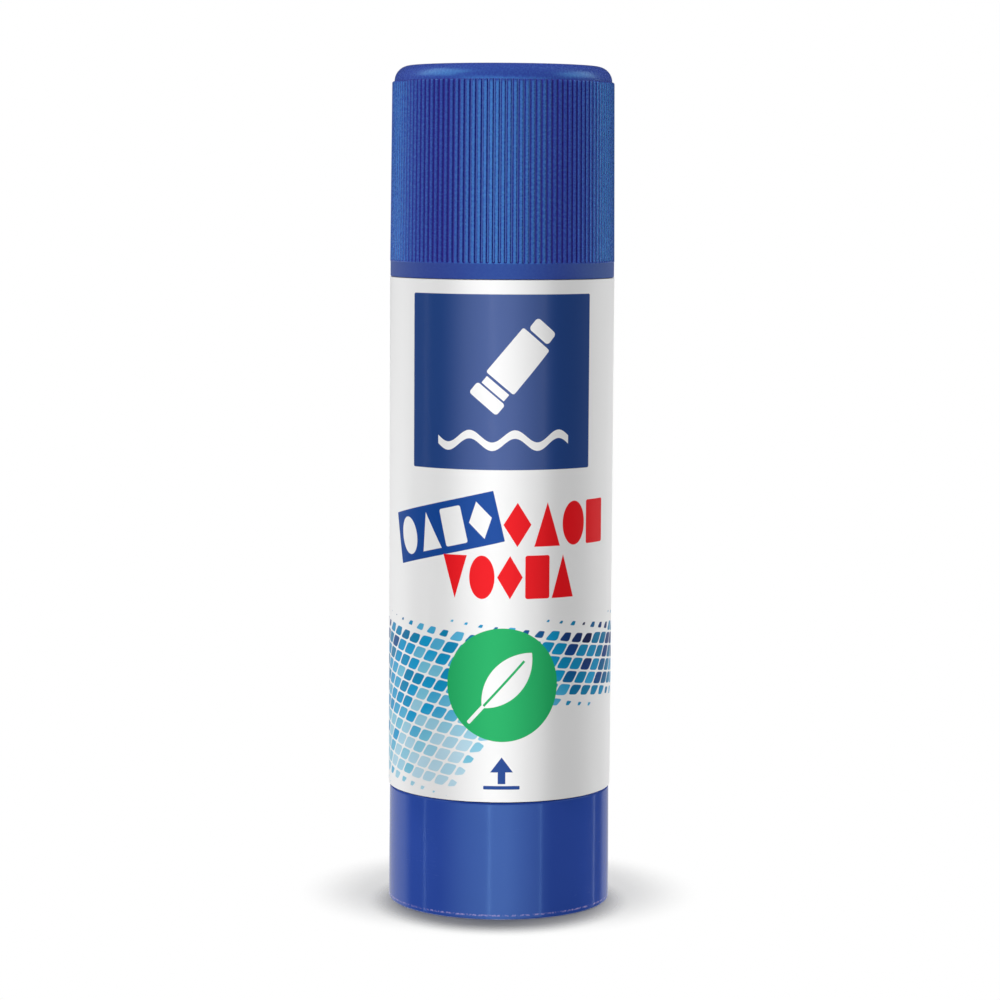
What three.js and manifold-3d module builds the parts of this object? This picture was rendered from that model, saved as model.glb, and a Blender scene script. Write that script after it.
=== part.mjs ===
// A 35 g twist-up glue stick: a ribbed push-on cap, a labelled barrel made of two tubes, and a turning knob
// whose screw spindle lifts the glue on its carrier. Millimetres, +Z up, origin at the centre of the foot.
import * as THREE from "three";
import { mergeVertices } from "three/addons/utils/BufferGeometryUtils.js";
import Module from "manifold-3d";

const wasm = await Module();
wasm.setup();

// Overall sizes
const totalHeight = 112.1;
const labelRadius = 15;
const knobHeight = 15.55;
const capHeight = 27.7;
const rimGap = 0.2; // between the sleeve and the knob below it or the cap above it

// Clearances that several pieces share
const runGap = 0.3; // between faces that pass each other
const touchGap = 0.1; // between faces that bear on each other
const castGap = 0.25; // between the glue and what it is cast round
const smallBevel = 0.3;

// Barrel: label film, outer sleeve and inner tube
const labelFilm = 0.12;
const labelGap = 0.05;
const labelInset = 0.1; // from the film's edges to the sleeve's ends
const labelSeam = 0.4; // between the film's two ends at the back
const sleeveAir = 0.44; // radial space between the tube and the sleeve along the barrel
const sleeveLip = 1.4; // height of the lip that centres the sleeve's top on the tube
const sleeveFit = 0.15; // radial gap between the sleeve and the tube where they locate
const collarHeight = 2;
const collarBead = 0.25;
const collarBeadHeight = 0.7;
const tubeWall = 1.05;
const tubeFloor = 1.2;
const mouthRound = 0.4;
const neckBeadGap = 0.1; // between the neck's bead and the cap's bore
const neckBeadHeight = 1.4;
const neckBeadDrop = 6; // from the tube's mouth down to the bead

// Keys in the tube that stop the carrier from turning
const keyCount = 4;
const keyWidth = 1;
const keyDepth = 0.6;
const keyGap = 0.25;

// Turning knob
const knobInset = 0.15; // the knob's rim is this much inside the label's radius
const knobTaper = 0.1; // the knob's foot is this much wider in radius than its rim
const knobFloor = 1.6;
const footRound = 0.5;
const footWidth = 1.8;
const footRecess = 0.8;
const knobRibCount = 6;
const knobRibHeight = 2;
const knobRibWidth = 0.9;
const ribToSkirt = 0.6;
const bossWall = 2.2;
const skirtFit = 0.3; // radial gap between the knob's bore and the tube's skirt
const snapBead = 0.45;
const snapBeadHeight = 1.1;
const snapGrooveHeight = 1.9;

// Screw spindle and its seal
const threadRadius = 3.2;
const threadDepth = 0.85;
const threadPitch = 4;
const threadCrestShare = 0.22; // of the pitch, for the flat crest
const threadFlankShare = 0.18; // of the pitch, for each flank
const threadSides = 12;
const journalRadius = 3;
const bearingGap = 0.25;
const flangeRadius = 6;
const flangeThickness = 1.2;
const barbHeight = 1.1;
const barbReach = 0.2; // how far the barb stands past the bearing's edge
const driveFlats = 4.6; // across the flats of the hexagonal drive
const driveGap = 0.12;
const washerThickness = 0.8;

// Carrier and glue
const slideGap = 0.25; // radial gap between the tube's bore and the carrier or the glue
const carrierWall = 0.7; // behind the channels for the keys
const carrierFloor = 1.2;
const carrierHeight = 8;
const carrierToMouth = 4.85; // the raised carrier's rim stops this far below the tube's mouth
const carrierRibWidth = 0.9;
const carrierRibHeight = 3;
const ventRadius = 1.3;
const hubHeight = 10;
const hubWall = 1.7;
const nutGap = 0.22; // between the spindle's thread and the hub's
const nutLeft = 5.4; // length of hub still on the thread at the top of the travel
const keyPastCarrier = 4; // the keys end this far above the carrier's highest underside
const glueToPlug = 0.6;
const glueTopRound = 0.8;
const boreGap = 0.35; // between the spindle and the glue's bore

// Cap
const capInset = 0.05; // the cap's plain band is this much inside the label's radius
const capBandHeight = 1.9;
const ribCount = 120;
const ribCrestInset = 0.01; // the ribs' lower ends are this much inside the label's radius
const ribDepth = 0.5;
const ribDraft = 0.21; // the crests come in by this much towards the top
const ribCrestShare = 0.4; // of the pitch
const ribRootShare = 0.36; // of the pitch
const shoulderStep = 0.1; // the round shoulder starts this much inside the grooves' upper ends
const shoulderRound = 2.1;
const capTop = 1.8;
const capWall = 0.9;
const capFit = 0.2; // radial gap between the cap's bore and the neck
const capMouthBevel = 0.4;
const sealFlange = 1.8;
const sealFit = 0.12; // gap between the seal's flange and the cap around it
const sealBead = 0.25; // bead in the cap that holds the seal
const sealBeadHeight = 0.5;
const sealBevel = 0.5; // in the cap's upper inner corner
const plugDepth = 2;
const plugWall = 1.4;

// Sides of the round forms
const skinSides = 60;
const innerSides = 48;
const smallSides = 24;

// Radii that follow from the sizes above
const sleeveRadius = labelRadius - labelFilm - labelGap;
const bandRadius = labelRadius - capInset;
const crestRadius = labelRadius - ribCrestInset;
const ribTopScale = 1 - ribDraft / crestRadius;
const shoulderRadius = (crestRadius - ribDepth) * ribTopScale - shoulderStep;
const capBore = crestRadius - ribDepth - capWall;
const sealBeadRadius = capBore - sealBead;
const tubeRadius = capBore - capFit;
const tubeBore = tubeRadius - tubeWall;
const sleeveBore = tubeRadius + sleeveAir;
const collarRadius = sleeveBore - sleeveFit;
const keyRadius = tubeBore - keyDepth;
const glueRadius = tubeBore - slideGap;
const carrierBore = keyRadius - keyGap - carrierWall;
const knobRimRadius = labelRadius - knobInset;
const knobFootRadius = knobRimRadius + knobTaper;
const knobBore = tubeRadius + skirtFit;
const snapRadius = knobBore - snapBead;
const driveCorner = driveFlats / 2 / Math.cos(Math.PI / 6);
const bossRadius = driveCorner + driveGap + bossWall;
const bearingRadius = journalRadius + bearingGap;
const barbRadius = bearingRadius + barbReach;
const threadRoot = threadRadius - threadDepth;
const threadCrest = threadCrestShare * threadPitch;
const threadFlank = threadFlankShare * threadPitch;
const hubRadius = threadRadius + nutGap + hubWall;

// Heights above the foot that follow from the sizes above
const capBottom = totalHeight - capHeight;
const sleeveBottom = knobHeight + rimGap;
const sleeveTop = capBottom - rimGap;
const sealTop = capHeight - capTop - touchGap; // above the cap's lower edge
const sealBottom = sealTop - sealFlange; // above the cap's lower edge
const tubeMouth = capBottom + sealBottom - runGap;
const knobFloorTop = footRecess + knobFloor;
const skirtBottom = knobFloorTop + knobRibHeight + ribToSkirt;
const snapHeight = (skirtBottom + knobHeight) / 2;
const floorTop = sleeveBottom + collarHeight / 2;
const floorBottom = floorTop - tubeFloor;
const flangeBottom = floorTop + washerThickness + 2 * touchGap;
const flangeTop = flangeBottom + flangeThickness;
const barbTop = floorBottom - touchGap;
const barbBottom = barbTop - barbHeight;
const bossTop = barbBottom - runGap;
const carrierBottom = flangeTop + runGap;
const carrierTravel = tubeMouth - carrierToMouth - carrierHeight - carrierBottom;
const spindleTop = carrierBottom + carrierTravel + nutLeft;
const keyTop = carrierBottom + carrierTravel + keyPastCarrier;
const glueTop = tubeMouth - plugDepth - glueToPlug;

// A closed outline of [radius, height] points turned about the vertical axis. It runs from the bottom up
// its outer side, and ends on the axis or, for a ring, where it started.
function turned(outline, sides) {
  const points = outline.map(([radius, height]) => new THREE.Vector2(radius, height));
  return new THREE.LatheGeometry(points, sides).rotateX(Math.PI / 2);
}

function turnedRing(outline, sides) {
  return turned([...outline, outline[0]], sides);
}

// Points of an arc in an outline, about [radius, height], from one angle to another
function arc(radius, height, size, fromDegrees, toDegrees, steps = 4) {
  return Array.from({ length: steps + 1 }, (_, i) => {
    const angle = THREE.MathUtils.degToRad(fromDegrees + ((toDegrees - fromDegrees) * i) / steps);
    return [radius + size * Math.cos(angle), height + size * Math.sin(angle)];
  });
}

// A disc or cylinder from the axis outward
function cylinder(radius, bottom, top, sides) {
  const outline = [
    [0, bottom],
    [radius, bottom],
    [radius, top],
    [0, top],
  ];
  return turned(outline, sides);
}

// A flat outline of [x, y] points raised from one height to another
function raised(points, bottom, top) {
  const shape = new THREE.Shape(points.map(([x, y]) => new THREE.Vector2(x, y)));
  const geometry = new THREE.ExtrudeGeometry(shape, { depth: top - bottom, bevelEnabled: false });
  return geometry.translate(0, 0, bottom);
}

// A block that lies along a radius
function radialBlock(fromRadius, toRadius, width, bottom, top, angle) {
  const block = new THREE.BoxGeometry(toRadius - fromRadius, width, top - bottom);
  block.translate((fromRadius + toRadius) / 2, 0, (bottom + top) / 2);
  return block.rotateZ(angle);
}

// The angles of evenly spaced copies, shifted by a share of the space between two of them
function anglesRound(count, shift = 0) {
  return Array.from({ length: count }, (_, i) => ((i + shift) * 2 * Math.PI) / count);
}

// A hexagon's corners from the distance across its flats
function hexagon(acrossFlats) {
  const corner = acrossFlats / 2 / Math.cos(Math.PI / 6);
  return anglesRound(6).map((angle) => [corner * Math.cos(angle), corner * Math.sin(angle)]);
}

// A closed geometry as a solid that can be joined and cut
function toSolid(geometry) {
  const bare = geometry.clone();
  bare.deleteAttribute("normal");
  bare.deleteAttribute("uv");
  const merged = mergeVertices(bare, 1e-4);
  const corners = merged.index.array;
  const faces = [];
  for (let i = 0; i < corners.length; i += 3) {
    const [a, b, c] = [corners[i], corners[i + 1], corners[i + 2]];
    if (a !== b && b !== c && c !== a) faces.push(a, b, c);
  }
  return new wasm.Manifold(
    new wasm.Mesh({
      numProp: 3,
      vertProperties: new Float32Array(merged.attributes.position.array),
      triVerts: new Uint32Array(faces),
    }),
  );
}

// A joined or cut solid as a flat-shaded geometry again
function toGeometry(solid) {
  const mesh = solid.getMesh();
  const geometry = new THREE.BufferGeometry();
  geometry.setAttribute("position", new THREE.BufferAttribute(new Float32Array(mesh.vertProperties), 3));
  geometry.setIndex(new THREE.BufferAttribute(new Uint32Array(mesh.triVerts), 1));
  const flat = geometry.toNonIndexed();
  flat.computeVertexNormals();
  return flat;
}

// A base geometry with others joined to it, and then others cut from it
function joinAndCut(base, joined, cut = []) {
  let solid = toSolid(base);
  for (const geometry of joined) solid = solid.add(toSolid(geometry));
  for (const geometry of cut) solid = solid.subtract(toSolid(geometry));
  return toGeometry(solid);
}

// A left-hand screw, solid to its axis, that covers at least the given heights. It is one strip of
// four helical edges for each pitch, with a turn's crest at height 0 on the +X side.
function screw(bottom, top, grow) {
  const crestHalf = threadCrest / 2 + grow;
  const rootHalf = crestHalf + threadFlank;
  const edges = [
    [threadRoot + grow, -rootHalf],
    [threadRadius + grow, -crestHalf],
    [threadRadius + grow, crestHalf],
    [threadRoot + grow, rootHalf],
  ];
  const rows = [];
  for (let turn = Math.floor(bottom / threadPitch) - 1; turn <= Math.ceil(top / threadPitch) + 1; turn++) {
    for (const [radius, rise] of edges) rows.push([radius, turn * threadPitch + rise]);
  }
  const positions = [];
  for (const [radius, height] of rows) {
    for (let side = 0; side <= threadSides; side++) {
      const angle = (side * 2 * Math.PI) / threadSides;
      const drop = (side * threadPitch) / threadSides;
      positions.push(radius * Math.cos(angle), radius * Math.sin(angle), height - drop);
    }
  }
  const corner = (row, side) => row * (threadSides + 1) + side;
  const faces = [];
  for (let row = 0; row < rows.length - 1; row++) {
    for (let side = 0; side < threadSides; side++) {
      faces.push(corner(row, side), corner(row, side + 1), corner(row + 1, side + 1));
      faces.push(corner(row, side), corner(row + 1, side + 1), corner(row + 1, side));
    }
  }
  const last = rows.length - 1;
  const lowerRim = anglesRound(threadSides + 1).map((_, side) => corner(0, side));
  const upperRim = anglesRound(threadSides + 1).map((_, side) => corner(last, side));
  for (let row = 1; row < edges.length; row++) {
    lowerRim.push(corner(row, threadSides));
    upperRim.push(corner(last - edges.length + row, 0));
  }
  closeWithFan(positions, faces, lowerRim.reverse(), rows[0][1] - threadPitch / 2);
  closeWithFan(positions, faces, upperRim, rows[last][1] - threadPitch / 2);
  const geometry = new THREE.BufferGeometry();
  geometry.setAttribute("position", new THREE.BufferAttribute(new Float32Array(positions), 3));
  geometry.setIndex(faces);
  return geometry;
}

// Triangles from a rim of corners to a new point on the axis
function closeWithFan(positions, faces, rim, height) {
  const middle = positions.length / 3;
  positions.push(0, 0, height);
  rim.forEach((corner, i) => faces.push(middle, corner, rim[(i + 1) % rim.length]));
}

// The channels in the carrier and the glue that run over the tube's keys
function keyChannels(bottom, top) {
  const width = keyWidth + 2 * keyGap;
  const past = tubeRadius;
  return anglesRound(keyCount).map((a) => radialBlock(keyRadius - keyGap, past, width, bottom, top, a));
}

function baseKnobShape() {
  const ringInner = knobFootRadius - footRound - footWidth;
  const halfBead = snapBeadHeight / 2;
  const outline = [
    [0, footRecess],
    [ringInner - footRecess / 2, footRecess],
    [ringInner, 0],
    ...arc(knobFootRadius - footRound, footRound, footRound, -90, 0),
    ...arc(knobRimRadius - smallBevel, knobHeight - smallBevel, smallBevel, 0, 90, 2),
    [knobBore + smallBevel, knobHeight],
    [knobBore, knobHeight - smallBevel],
    [knobBore, snapHeight + halfBead + snapBead / 2],
    [snapRadius, snapHeight + halfBead - snapBead / 2],
    [snapRadius, snapHeight - halfBead + snapBead / 2],
    [knobBore, snapHeight - halfBead - snapBead / 2],
    [knobBore, knobFloorTop + smallBevel],
    [knobBore - smallBevel, knobFloorTop],
    [0, knobFloorTop],
  ];
  const sunk = knobFloorTop - knobFloor / 2;
  const ribTop = knobFloorTop + knobRibHeight;
  const ribReach = (knobBore + knobRimRadius) / 2;
  const ribs = anglesRound(knobRibCount).map((a) =>
    radialBlock(bossRadius / 2, ribReach, knobRibWidth, sunk, ribTop, a),
  );
  const boss = cylinder(bossRadius, sunk, bossTop, smallSides);
  const socket = raised(hexagon(driveFlats + 2 * driveGap), knobFloorTop, bossTop + 1);
  return joinAndCut(turned(outline, skinSides), [boss, ...ribs], [socket]);
}

function spindleShape() {
  const lowerOutline = [
    [0, barbBottom],
    [driveFlats / 2, barbBottom],
    [barbRadius, barbTop - smallBevel],
    [barbRadius, barbTop],
    [journalRadius, barbTop],
    [journalRadius, flangeBottom],
    [flangeRadius, flangeBottom],
    [flangeRadius, flangeTop],
    [0, flangeTop],
  ];
  const threadEnvelope = [
    [0, flangeTop - flangeThickness / 2],
    [threadRadius + 1, flangeTop - flangeThickness / 2],
    [threadRadius + 1, spindleTop - threadDepth - 1],
    [threadRoot, spindleTop],
    [0, spindleTop],
  ];
  const wholeScrew = screw(flangeTop - carrierBottom, spindleTop - carrierBottom, 0);
  const wholeSolid = toSolid(wholeScrew.translate(0, 0, carrierBottom));
  const thread = toGeometry(wholeSolid.intersect(toSolid(turned(threadEnvelope, smallSides))));
  const drive = raised(hexagon(driveFlats), knobFloorTop + runGap, barbBottom + barbHeight / 2);
  return joinAndCut(turned(lowerOutline, smallSides), [thread, drive]);
}

function spindleSealShape() {
  const inner = journalRadius + bearingGap;
  const outer = flangeRadius - runGap;
  const bottom = floorTop + touchGap;
  const top = bottom + washerThickness;
  const outline = [
    [inner, bottom],
    [outer, bottom],
    [outer, top],
    [inner, top],
  ];
  return turnedRing(outline, smallSides);
}

function innerTubeShape() {
  const grooveRadius = snapRadius - runGap;
  const beadMiddle = sleeveBottom + collarHeight / 2;
  const neckMiddle = tubeMouth - neckBeadDrop;
  const mouthEdge = Math.min(mouthRound, tubeWall / 2);
  const outline = [
    [bearingRadius, floorBottom],
    [tubeBore, floorBottom],
    [tubeBore, skirtBottom],
    [tubeRadius - smallBevel, skirtBottom],
    [tubeRadius, skirtBottom + smallBevel],
    [tubeRadius, snapHeight - snapGrooveHeight / 2],
    [grooveRadius, snapHeight - snapGrooveHeight / 2],
    [grooveRadius, snapHeight + snapGrooveHeight / 2],
    [tubeRadius, snapHeight + snapGrooveHeight / 2],
    [tubeRadius, sleeveBottom],
    [collarRadius, sleeveBottom],
    [collarRadius, beadMiddle - collarBeadHeight / 2],
    [collarRadius + collarBead, beadMiddle],
    [collarRadius, beadMiddle + collarBeadHeight / 2],
    [collarRadius, sleeveBottom + collarHeight - smallBevel],
    [tubeRadius, sleeveBottom + collarHeight],
    [tubeRadius, neckMiddle - neckBeadHeight / 2],
    [capBore - neckBeadGap, neckMiddle],
    [tubeRadius, neckMiddle + neckBeadHeight / 2],
    ...arc(tubeRadius - mouthEdge, tubeMouth - mouthEdge, mouthEdge, 0, 90),
    [tubeBore + mouthEdge / 2, tubeMouth],
    [tubeBore, tubeMouth - mouthEdge / 2],
    [tubeBore, floorTop],
    [bearingRadius, floorTop],
  ];
  const sunk = floorTop - tubeFloor / 2;
  const past = tubeBore + tubeWall / 2;
  const keys = anglesRound(keyCount).map((a) => radialBlock(keyRadius, past, keyWidth, sunk, keyTop, a));
  return joinAndCut(turnedRing(outline, innerSides), keys);
}

function outerSleeveShape() {
  const lipRadius = tubeRadius + sleeveFit;
  const lipBottom = sleeveTop - sleeveLip;
  const grooveMiddle = sleeveBottom + collarHeight / 2;
  const grooveHalf = collarBeadHeight / 2 + sleeveFit;
  const outline = [
    [sleeveBore + smallBevel / 2, sleeveBottom],
    [sleeveRadius - smallBevel / 2, sleeveBottom],
    [sleeveRadius, sleeveBottom + smallBevel / 2],
    [sleeveRadius, sleeveTop - smallBevel / 2],
    [sleeveRadius - smallBevel / 2, sleeveTop],
    [lipRadius, sleeveTop],
    [lipRadius, lipBottom],
    [sleeveBore, lipBottom - smallBevel],
    [sleeveBore, grooveMiddle + grooveHalf],
    [sleeveBore + collarBead, grooveMiddle],
    [sleeveBore, grooveMiddle - grooveHalf],
    [sleeveBore, sleeveBottom + smallBevel / 2],
  ];
  return turnedRing(outline, skinSides);
}

function labelShape() {
  const inner = labelRadius - labelFilm;
  const bottom = sleeveBottom + labelInset;
  const top = sleeveTop - labelInset;
  const outline = [
    [inner, bottom],
    [labelRadius, bottom],
    [labelRadius, top],
    [inner, top],
  ];
  const seam = radialBlock(inner - 1, labelRadius + 1, labelSeam, bottom - 1, top + 1, Math.PI / 2);
  return joinAndCut(turnedRing(outline, skinSides), [], [seam]);
}

// The carrier's and the glue's heights are above the carrier's underside
function carrierShape() {
  const outline = [
    [0, 0],
    [glueRadius - smallBevel, 0],
    [glueRadius, smallBevel],
    [glueRadius, carrierHeight],
    [carrierBore + smallBevel, carrierHeight],
    [carrierBore, carrierHeight - smallBevel],
    [carrierBore, carrierFloor],
    [0, carrierFloor],
  ];
  const sunk = carrierFloor / 2;
  const ribTop = carrierFloor + carrierRibHeight;
  const ribs = anglesRound(keyCount, 0.5).map((a) =>
    radialBlock(hubRadius - hubWall / 2, carrierBore + carrierWall / 2, carrierRibWidth, sunk, ribTop, a),
  );
  const ventMiddle = (hubRadius + carrierBore) / 2;
  const vents = anglesRound(keyCount).map((a) =>
    cylinder(ventRadius, -1, carrierFloor + 1, smallSides / 2).translate(ventMiddle, 0, 0).rotateZ(a),
  );
  const hub = cylinder(hubRadius, sunk, hubHeight, smallSides);
  const nut = screw(0, hubHeight, nutGap);
  const cuts = [nut, ...vents, ...keyChannels(-1, carrierHeight + 1)];
  return joinAndCut(turned(outline, innerSides), [hub, ...ribs], cuts);
}

function glueShape() {
  const top = glueTop - carrierBottom;
  const bottom = carrierFloor + castGap;
  const shoulder = carrierHeight + castGap;
  const outline = [
    [0, bottom],
    [carrierBore - castGap, bottom],
    [carrierBore - castGap, shoulder],
    [glueRadius, shoulder],
    ...arc(glueRadius - glueTopRound, top - glueTopRound, glueTopRound, 0, 90, 3),
    [0, top],
  ];
  const ribs = anglesRound(keyCount, 0.5).map((a) => {
    const width = carrierRibWidth + 2 * castGap;
    return radialBlock(hubRadius, carrierBore, width, 0, carrierFloor + carrierRibHeight + castGap, a);
  });
  const hubRecess = cylinder(hubRadius + castGap, 0, hubHeight + castGap, smallSides);
  const boreTop = spindleTop + boreGap - carrierBottom;
  const bore = cylinder(threadRadius + boreGap, 0, boreTop, smallSides);
  const channels = keyChannels(0, keyTop + runGap - carrierBottom);
  return joinAndCut(turned(outline, innerSides), [], [bore, hubRecess, ...ribs, ...channels]);
}

// Heights in the cap are above its lower edge
function ribbedBlock(bottom, top) {
  const pitch = (2 * Math.PI) / ribCount;
  const points = anglesRound(ribCount).flatMap((angle) => {
    const crest = (ribCrestShare * pitch) / 2;
    const root = ((1 - ribRootShare) * pitch) / 2;
    const corners = [
      [crestRadius - ribDepth, angle - root],
      [crestRadius, angle - crest],
      [crestRadius, angle + crest],
      [crestRadius - ribDepth, angle + root],
    ];
    return corners.map(([radius, turn]) => [radius * Math.cos(turn), radius * Math.sin(turn)]);
  });
  const block = raised(points, bottom, top);
  const place = block.attributes.position;
  for (let i = 0; i < place.count; i++) {
    const scale = place.getZ(i) > (bottom + top) / 2 ? ribTopScale : 1;
    place.setXYZ(i, place.getX(i) * scale, place.getY(i) * scale, place.getZ(i));
  }
  return block;
}

function capShellShape() {
  const ribsTop = capHeight - shoulderRound;
  const hidden = shoulderRadius - ribDepth;
  const outside = [
    [0, 0],
    [bandRadius - smallBevel / 2, 0],
    [bandRadius, smallBevel / 2],
    [bandRadius, capBandHeight],
    [hidden, capBandHeight],
    [hidden, ribsTop],
    ...arc(shoulderRadius - shoulderRound, ribsTop, shoulderRound, 0, 90, 6),
    [0, capHeight],
  ];
  const beadMiddle = sealTop - sealFlange / 2;
  const roof = capHeight - capTop;
  const inside = [
    [0, -1],
    [capBore + capMouthBevel, -1],
    [capBore + capMouthBevel, 0],
    [capBore, capMouthBevel],
    [capBore, beadMiddle - sealBeadHeight / 2],
    [sealBeadRadius, beadMiddle],
    [capBore, beadMiddle + sealBeadHeight / 2],
    [capBore, roof - sealBevel],
    [capBore - sealBevel, roof],
    [0, roof],
  ];
  const ribs = ribbedBlock(capBandHeight, ribsTop);
  return joinAndCut(turned(outside, skinSides), [ribs], [turned(inside, skinSides)]);
}

function capSealShape() {
  const rim = capBore - sealFit;
  const grooveMiddle = sealTop - sealFlange / 2;
  const grooveHalf = sealBeadHeight / 2 + sealFit;
  const plugRadius = tubeBore - runGap;
  const plugBottom = sealBottom - plugDepth;
  const outline = [
    [0, sealBottom],
    [plugRadius - plugWall, sealBottom],
    [plugRadius - plugWall, plugBottom],
    [plugRadius - smallBevel, plugBottom],
    [plugRadius, plugBottom + smallBevel],
    [plugRadius, sealBottom],
    [rim, sealBottom],
    [rim, grooveMiddle - grooveHalf],
    [sealBeadRadius - sealFit, grooveMiddle],
    [rim, grooveMiddle + grooveHalf],
    [rim, sealTop - sealBevel],
    [rim - sealBevel, sealTop],
    [0, sealTop],
  ];
  return turned(outline, innerSides);
}

const bluePlastic = new THREE.MeshStandardMaterial({ color: 0x2f5fb8, roughness: 0.3, metalness: 0 });
const darkBluePlastic = new THREE.MeshStandardMaterial({ color: 0x2b4aa8, roughness: 0.32, metalness: 0 });
const whitePlastic = new THREE.MeshStandardMaterial({ color: 0xf2f2ee, roughness: 0.4, metalness: 0 });
const clearPlastic = new THREE.MeshStandardMaterial({ color: 0xe4e6e2, roughness: 0.45, metalness: 0 });
const labelPaper = new THREE.MeshStandardMaterial({ color: 0xffffff, roughness: 0.3, metalness: 0 });
const softSeal = new THREE.MeshStandardMaterial({ color: 0xd9dad4, roughness: 0.6, metalness: 0 });
const gluePaste = new THREE.MeshStandardMaterial({ color: 0x3f6fc4, roughness: 0.5, metalness: 0 });

function piece(name, geometry, material) {
  const mesh = new THREE.Mesh(geometry, material);
  mesh.name = name;
  return mesh;
}

const knob = new THREE.Group();
knob.add(piece("base_knob", baseKnobShape(), darkBluePlastic));
knob.add(piece("spindle", spindleShape(), clearPlastic));
knob.add(piece("spindle_seal", spindleSealShape(), softSeal));

const barrel = new THREE.Group();
barrel.add(piece("inner_tube", innerTubeShape(), clearPlastic));
barrel.add(piece("outer_sleeve", outerSleeveShape(), whitePlastic));
barrel.add(piece("label", labelShape(), labelPaper));

const feed = new THREE.Group();
feed.position.z = carrierBottom;
feed.add(piece("carrier", carrierShape(), clearPlastic));
feed.add(piece("glue", glueShape(), gluePaste));

const cap = new THREE.Group();
cap.position.z = capBottom;
cap.add(piece("cap_shell", capShellShape(), bluePlastic));
cap.add(piece("cap_seal", capSealShape(), softSeal));

const glueStick = new THREE.Group();
glueStick.add(knob, barrel, feed, cap);

export default glueStick;
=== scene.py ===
import math
from functools import partial
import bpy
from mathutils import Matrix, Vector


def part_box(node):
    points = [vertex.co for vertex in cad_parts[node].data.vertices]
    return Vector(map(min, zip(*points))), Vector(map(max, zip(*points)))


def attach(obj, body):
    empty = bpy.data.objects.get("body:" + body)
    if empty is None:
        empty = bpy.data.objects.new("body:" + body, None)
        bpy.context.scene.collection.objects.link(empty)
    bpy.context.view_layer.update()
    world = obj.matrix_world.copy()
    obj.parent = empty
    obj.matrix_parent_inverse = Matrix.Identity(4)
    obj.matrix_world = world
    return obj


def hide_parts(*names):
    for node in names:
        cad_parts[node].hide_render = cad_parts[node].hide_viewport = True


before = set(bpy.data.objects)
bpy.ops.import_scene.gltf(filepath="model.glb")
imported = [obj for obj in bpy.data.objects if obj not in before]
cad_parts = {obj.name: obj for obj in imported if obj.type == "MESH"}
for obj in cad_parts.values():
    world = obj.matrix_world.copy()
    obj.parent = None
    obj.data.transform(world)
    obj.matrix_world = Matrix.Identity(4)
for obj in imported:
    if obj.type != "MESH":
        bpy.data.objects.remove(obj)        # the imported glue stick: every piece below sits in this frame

from types import SimpleNamespace
import bmesh
import bpy
from mathutils import Matrix, Vector

mm = 0.001
fullTurn = 2 * math.pi
frontAngle = -math.pi / 2        # the label's front faces -Y
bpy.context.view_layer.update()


# A node's outer radius, bottom and top, in millimetres
def nodeSize(name):
    low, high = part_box(name)
    return SimpleNamespace(radius=high.x / mm, bottom=low.z / mm, top=high.z / mm)


cad = {name: nodeSize(name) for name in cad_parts}
print("frame loaded:", len(cad), "nodes")


# Outlines are lists of (radius, height, corner rounding) in millimetres.
# This gives the points of the outline with each rounded corner as an arc.
def softCorners(corners, closed=False, steps=4):
    path = []
    count = len(corners)

    # how much of the side between two corners one of them may use for its arc
    def share(first, second):
        return 0.49 if corners[first][2] and corners[second][2] else 0.98

    for index, (radius, height, rounding) in enumerate(corners):
        here = Vector((radius, height))
        isEnd = not closed and index in (0, count - 1)
        if rounding == 0 or isEnd:
            path.append(here)
            continue
        after = (index + 1) % count
        arriving = here - Vector(corners[index - 1][:2])
        leaving = Vector(corners[after][:2]) - here
        bend = arriving.angle(leaving)
        cut = min(rounding * math.tan(bend / 2), share(index - 1, index) * arriving.length,
                  share(index, after) * leaving.length)
        bow = cut / math.tan(bend / 2)
        along = arriving.normalized()
        aside = leaving.normalized()
        aside = (aside - along * along.dot(aside)).normalized()
        for step in range(steps + 1):
            swing = bend * step / steps
            path.append(here + along * (bow * math.sin(swing) - cut) + aside * bow * (1 - math.cos(swing)))
    return path


def evenAngles(count):
    return [fullTurn * step / count for step in range(count)]


# Even angles, and a few more at these shares of half a key's angle from each of the four keys
def keyedAngles(count, halfKey, shares):
    angles = set(evenAngles(count))
    for corner in range(4):
        for share in shares:
            angles.add((corner * math.pi / 2 + halfKey * share) % fullTurn)
            angles.add((corner * math.pi / 2 - halfKey * share) % fullTurn)
    return sorted(angles)


# How far an angle is from the nearest of those that lie a pitch apart
def offNearest(angle, pitch):
    return abs((angle + pitch / 2) % pitch - pitch / 2)


# Turns the radius of a hexagon's inner circle into its reach at an angle
def hexReach(angle, radius):
    return radius / math.cos(offNearest(angle, math.pi / 3))


# A point's place in metres, from its angle, radius and height in millimetres
def spotAt(angle, radius, height):
    return radius * math.cos(angle) * mm, radius * math.sin(angle) * mm, height * mm


def plainRound(angle, radius, height):
    return radius, height


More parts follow.
